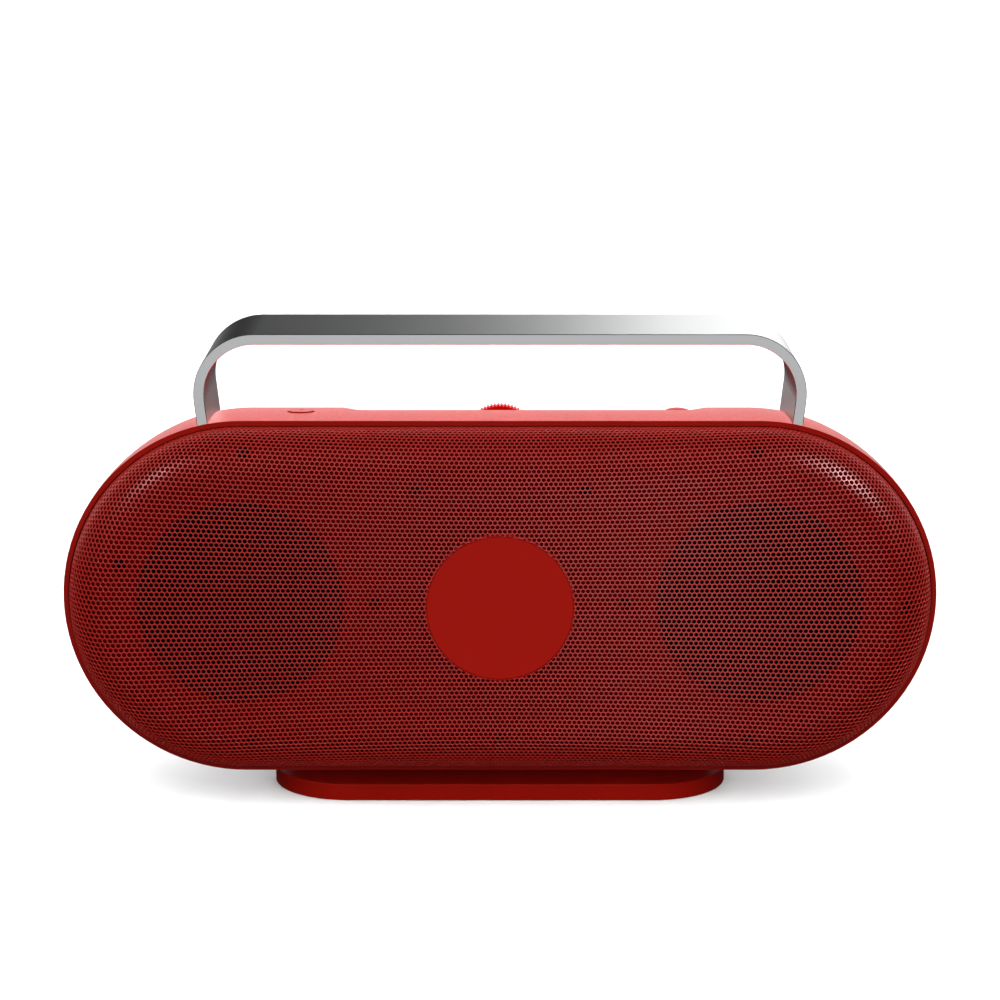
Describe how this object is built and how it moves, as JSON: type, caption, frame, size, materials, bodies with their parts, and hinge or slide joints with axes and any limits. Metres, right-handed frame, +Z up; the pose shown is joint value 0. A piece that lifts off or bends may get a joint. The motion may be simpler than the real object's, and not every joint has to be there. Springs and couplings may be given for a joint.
{
  "type": "portable party speaker",
  "caption": "Stadium-shaped battery speaker with a perforated metal front, round badge, top dial and buttons, flat carrying handle and a pill-shaped foot.",
  "frame": {"origin": "on the floor under the foot, at the middle of the whole speaker's bounding box", "axes": "+X to the speaker's right seen from the front, +Y from the grille towards the back, +Z up"},
  "size_m": [0.3654, 0.1024, 0.2014],
  "materials": {
    "red_shell": "satin moulded plastic with a fine grain",
    "red_grille": "satin powder-coated perforated steel",
    "red_badge": "smooth satin plastic",
    "red_baffle": "plain moulded plastic",
    "red_dial": "semi-gloss moulded plastic",
    "red_button": "satin moulded plastic",
    "red_rubber": "matt silicone rubber",
    "handle_metal": "fine bead-blasted anodised, polished chamfers",
    "black_rubber": "matt rubber",
    "black_plastic": "matt moulded plastic",
    "black_steel": "black e-coat",
    "screw_steel": "zinc plated",
    "plate_steel": "zinc plated",
    "cone_paper": "black pressed pulp",
    "spider_cloth": "woven cloth",
    "coil_copper": "enamelled copper wire",
    "magnet_ferrite": "sintered ferrite",
    "board_green": "solder mask",
    "cell_wrap": "shrink wrap",
    "sink_metal": "extruded, plain",
    "socket_metal": "plated"
  },
  "bodies": {
    "body": {"rear_housing": "red_shell", "front_grille": "red_grille", "grille_badge": "red_badge", "front_baffle": "red_baffle", "baffle_gasket": "black_rubber", "baffle_screws": "screw_steel", "dial_encoder": "black_plastic", "dial_bracket": "plate_steel", "power_switch": "black_plastic", "play_switch": "black_plastic", "control_board": "board_green", "control_board_screws": "screw_steel", "handle": "handle_metal", "handle_clamp_left": "black_plastic", "handle_clamp_right": "black_plastic", "handle_screws": "screw_steel", "foot_plinth": "red_shell", "foot_pad": "black_rubber", "foot_screws": "screw_steel", "passive_frame": "black_plastic", "passive_screws": "screw_steel", "battery_holder": "black_plastic", "battery_cells": "cell_wrap", "main_board": "board_green", "heat_sink": "sink_metal", "board_screws": "screw_steel", "port_board": "board_green", "usb_socket": "socket_metal", "aux_socket": "black_plastic", "left_basket": "black_steel", "left_top_plate": "plate_steel", "left_magnet": "magnet_ferrite", "left_yoke": "plate_steel", "left_driver_screws": "screw_steel", "right_basket": "black_steel", "right_top_plate": "plate_steel", "right_magnet": "magnet_ferrite", "right_yoke": "plate_steel", "right_driver_screws": "screw_steel"},
    "dial": {"volume_dial": "red_dial", "dial_shaft": "plate_steel"},
    "power_key": {"power_button": "red_button"},
    "play_key": {"play_button": "red_button"},
    "passive_piston": {"passive_disc": "black_plastic", "passive_weight": "plate_steel", "passive_surround": "black_rubber"},
    "cover": {"port_cover": "red_rubber"},
    "left_piston": {"left_cone": "cone_paper", "left_dust_cap": "cone_paper", "left_voice_coil": "coil_copper", "left_surround": "black_rubber", "left_spider": "spider_cloth"},
    "right_piston": {"right_cone": "cone_paper", "right_dust_cap": "cone_paper", "right_voice_coil": "coil_copper", "right_surround": "black_rubber", "right_spider": "spider_cloth"}
  },
  "joints": [
    {"name": "volume_turn", "type": "hinge", "parent": "body", "child": "dial", "pos_m": [0, 0.02025, 0.146], "axis": [0, 1, 0], "continuous": true},
    {"name": "power_press", "type": "slide", "parent": "body", "child": "power_key", "axis": [0, 0, -1], "range_m": [0, 0.0008], "stiffness_N_per_m": 400, "springref_m": -0.0003},
    {"name": "play_press", "type": "slide", "parent": "body", "child": "play_key", "axis": [0, 0, -1], "range_m": [0, 0.0008], "stiffness_N_per_m": 400, "springref_m": -0.0003},
    {"name": "passive_travel", "type": "slide", "parent": "body", "child": "passive_piston", "axis": [0, 1, 0], "range_m": [-0.003, 0.003], "stiffness_N_per_m": 1500, "deforming": ["passive_surround"]},
    {"name": "cover_swing", "type": "hinge", "parent": "body", "child": "cover", "pos_m": [0.078, 0.05125, 0.06885], "axis": [-1, 0, 0], "range_deg": [0, 110]},
    {"name": "left_cone_travel", "type": "slide", "parent": "body", "child": "left_piston", "axis": [0, 1, 0], "range_m": [-0.0025, 0.0025], "stiffness_N_per_m": 2000, "deforming": ["left_surround", "left_spider"]},
    {"name": "right_cone_travel", "type": "slide", "parent": "body", "child": "right_piston", "axis": [0, 1, 0], "range_m": [-0.0025, 0.0025], "stiffness_N_per_m": 2000, "deforming": ["right_surround", "right_spider"]}
  ]
}
